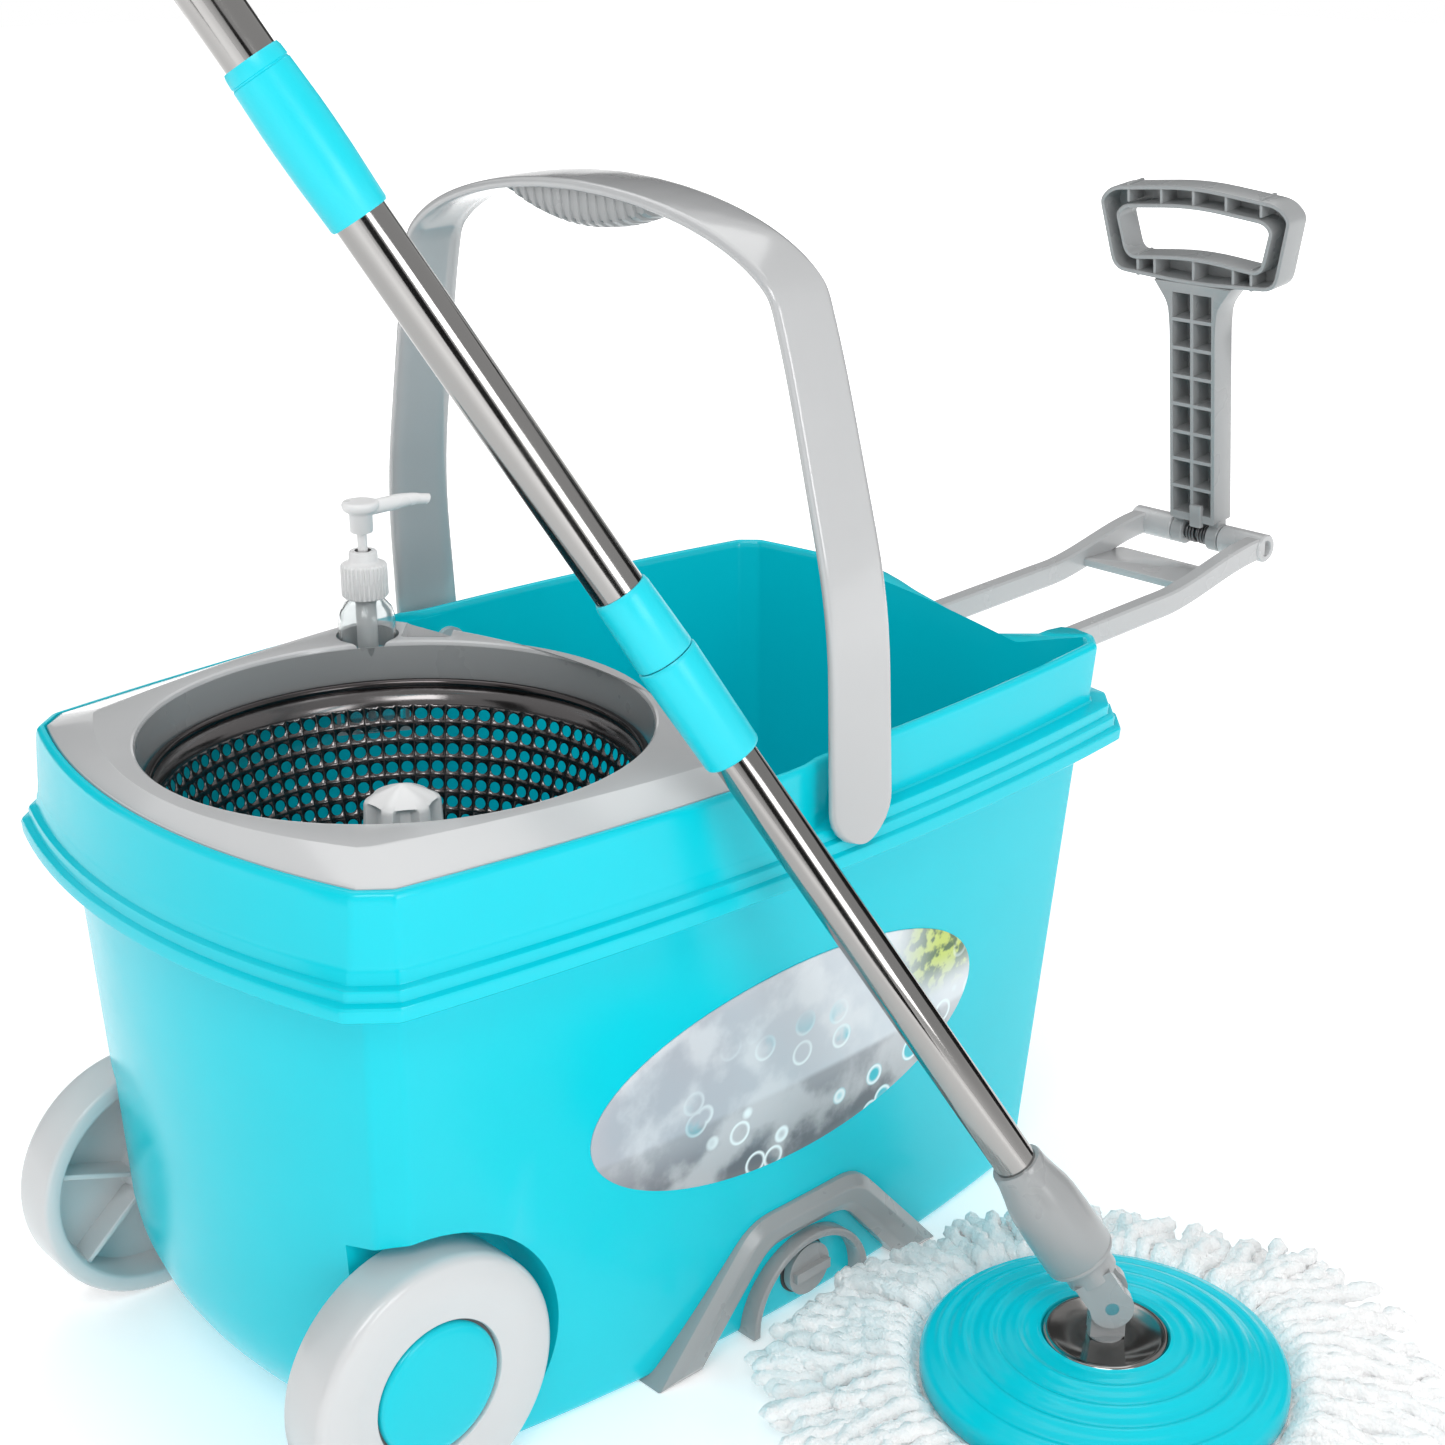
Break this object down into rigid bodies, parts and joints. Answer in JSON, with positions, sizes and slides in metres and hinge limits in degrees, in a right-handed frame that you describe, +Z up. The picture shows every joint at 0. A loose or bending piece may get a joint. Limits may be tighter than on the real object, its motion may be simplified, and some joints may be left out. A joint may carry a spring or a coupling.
{
  "type": "spin mop and bucket set",
  "caption": "Wheeled oval-sided bucket with wringer deck, spin basket, soap pump, bail and folding pull handle, and a press-to-spin mop standing beside it.",
  "frame": {"origin": "centre of the bucket's flat base, on the floor", "axes": "+X towards the pull handle, -Y towards the side where the mop stands, +Z up"},
  "size_m": [0.8014, 0.5955, 0.822],
  "materials": {
    "turquoise_plastic": "smooth glossy moulded polypropylene",
    "light_grey_plastic": "satin to glossy moulded plastic",
    "mid_grey_plastic": "satin moulded plastic",
    "white_plastic": "smooth white moulded plastic",
    "clear_plastic": "clear blow-moulded plastic",
    "bronze_nylon": "plain bearing nylon",
    "perforated_steel": "polished perforated stainless steel",
    "steel": "plain steel",
    "spring_steel": "blackened spring steel",
    "chrome": "polished chromed steel tube",
    "black_rubber": "soft seal rubber",
    "printed_label": null,
    "microfibre": "white microfibre chenille strands"
  },
  "bodies": {
    "bucket": {"bucket_shell": "turquoise_plastic", "wringer_deck": "light_grey_plastic", "side_trims": "mid_grey_plastic", "drain_shroud": "mid_grey_plastic", "drain_seal": "black_rubber", "side_label": "printed_label", "spindle_post": "turquoise_plastic", "spindle_pin": "steel", "thrust_washer": "white_plastic", "stub_axles": "steel", "axle_clips": "steel", "bail_pins": "light_grey_plastic", "fork_brackets": "turquoise_plastic", "fork_pins": "steel", "bottle_cradle": "light_grey_plastic"},
    "spin_basket": {"basket": "perforated_steel", "basket_hub": "white_plastic", "hub_bushing": "bronze_nylon", "hub_rivets": "steel"},
    "drain_cap": {"drain_cap": "mid_grey_plastic"},
    "near_wheel": {"wheel_near": "light_grey_plastic", "cap_near": "turquoise_plastic"},
    "far_wheel": {"wheel_far": "light_grey_plastic", "cap_far": "turquoise_plastic"},
    "bail": {"bail_handle": "light_grey_plastic", "bail_grip": "mid_grey_plastic"},
    "fork": {"pull_fork": "light_grey_plastic", "hinge_pin": "steel"},
    "pull_handle": {"t_handle": "mid_grey_plastic", "handle_springs": "spring_steel"},
    "soap_bottle": {"soap_bottle": "clear_plastic", "bottle_closure": "white_plastic", "pump_cylinder": "clear_plastic", "dip_tube": "clear_plastic", "pump_spring": "steel"},
    "pump": {"pump_head": "white_plastic", "pump_stem": "white_plastic"},
    "mop_head": {"mop_pad": "microfibre", "pad_ring": "white_plastic", "mop_plate": "turquoise_plastic", "plate_disc": "chrome", "plate_lug": "mid_grey_plastic"},
    "lower_pole": {"pole_yoke": "mid_grey_plastic", "yoke_pin": "steel", "collar_nut": "mid_grey_plastic", "lower_tube": "chrome", "clutch_housing": "white_plastic"},
    "drive_nut": {"drive_nut": "white_plastic"},
    "upper_pole": {"upper_tube": "chrome", "lock_sleeve": "turquoise_plastic", "spiral_rod": "steel", "rod_anchor": "white_plastic", "joint_sleeve": "turquoise_plastic", "thread_stud": "white_plastic", "top_tube": "chrome", "grip": "turquoise_plastic", "grip_cap": "turquoise_plastic"},
    "lock": {"lock_collar": "turquoise_plastic"}
  },
  "joints": [
    {"name": "basket_spin", "type": "hinge", "parent": "bucket", "child": "spin_basket", "pos_m": [-0.113, 0, 0.2], "axis": [0, 0, 1], "continuous": true},
    {"name": "drain_turn", "type": "hinge", "parent": "bucket", "child": "drain_cap", "pos_m": [0.014, -0.123, 0.023], "axis": [0, -1, 0], "range_deg": [0, 90]},
    {"name": "near_wheel_spin", "type": "hinge", "parent": "bucket", "child": "near_wheel", "pos_m": [-0.195, -0.1115, 0.059], "axis": [0, 1, 0], "continuous": true},
    {"name": "far_wheel_spin", "type": "hinge", "parent": "bucket", "child": "far_wheel", "pos_m": [-0.195, 0.1115, 0.059], "axis": [0, 1, 0], "continuous": true},
    {"name": "bail_swing", "type": "hinge", "parent": "bucket", "child": "bail", "pos_m": [0.015, 0, 0.268], "axis": [0, 1, 0], "range_deg": [0, 75]},
    {"name": "fork_fold", "type": "hinge", "parent": "bucket", "child": "fork", "pos_m": [0.254, 0, 0.246], "axis": [0, 1, 0], "range_deg": [0, 70]},
    {"name": "handle_fold", "type": "hinge", "parent": "fork", "child": "pull_handle", "pos_m": [0.473, 0, 0.2665], "axis": [0, -1, 0], "range_deg": [0, 75], "stiffness_Nm_per_rad": 0.12, "springref_deg": -51.57},
    {"name": "bottle_lift", "type": "slide", "parent": "bucket", "child": "soap_bottle", "axis": [0, 0, 1], "range_m": [0, 0.12]},
    {"name": "pump_press", "type": "slide", "parent": "soap_bottle", "child": "pump", "axis": [0, 0, -1], "range_m": [0, 0.007], "stiffness_N_per_m": 250, "springref_m": -0.004, "deforming": ["pump_spring"]},
    {"name": "mop_lift", "type": "slide", "parent": "bucket", "child": "mop_head", "axis": [0, -0.6, 0.8], "range_m": [0, 0.3]},
    {"name": "pole_tilt", "type": "hinge", "parent": "mop_head", "child": "lower_pole", "pos_m": [0.05, -0.2735, 0.064], "axis": [0.6691, 0.7431, 0], "range_deg": [0, 90]},
    {"name": "handle_press", "type": "slide", "parent": "lower_pole", "child": "upper_pole", "axis": [0.4026, -0.3625, -0.8406], "range_m": [0, 0.15]},
    {"name": "nut_spin", "type": "hinge", "parent": "lower_pole", "child": "drive_nut", "pos_m": [-0.09734, -0.14083, 0.37165], "axis": [-0.4026, 0.3625, 0.8406], "range_deg": [0, 620]},
    {"name": "lock_twist", "type": "hinge", "parent": "upper_pole", "child": "lock", "pos_m": [-0.08124, -0.15533, 0.33803], "axis": [-0.4026, 0.3625, 0.8406], "range_deg": [0, 60]}
  ],
  "couplings": [
    {"joint": "nut_spin", "follows": "handle_press", "rad_per_m": 69.813}
  ]
}
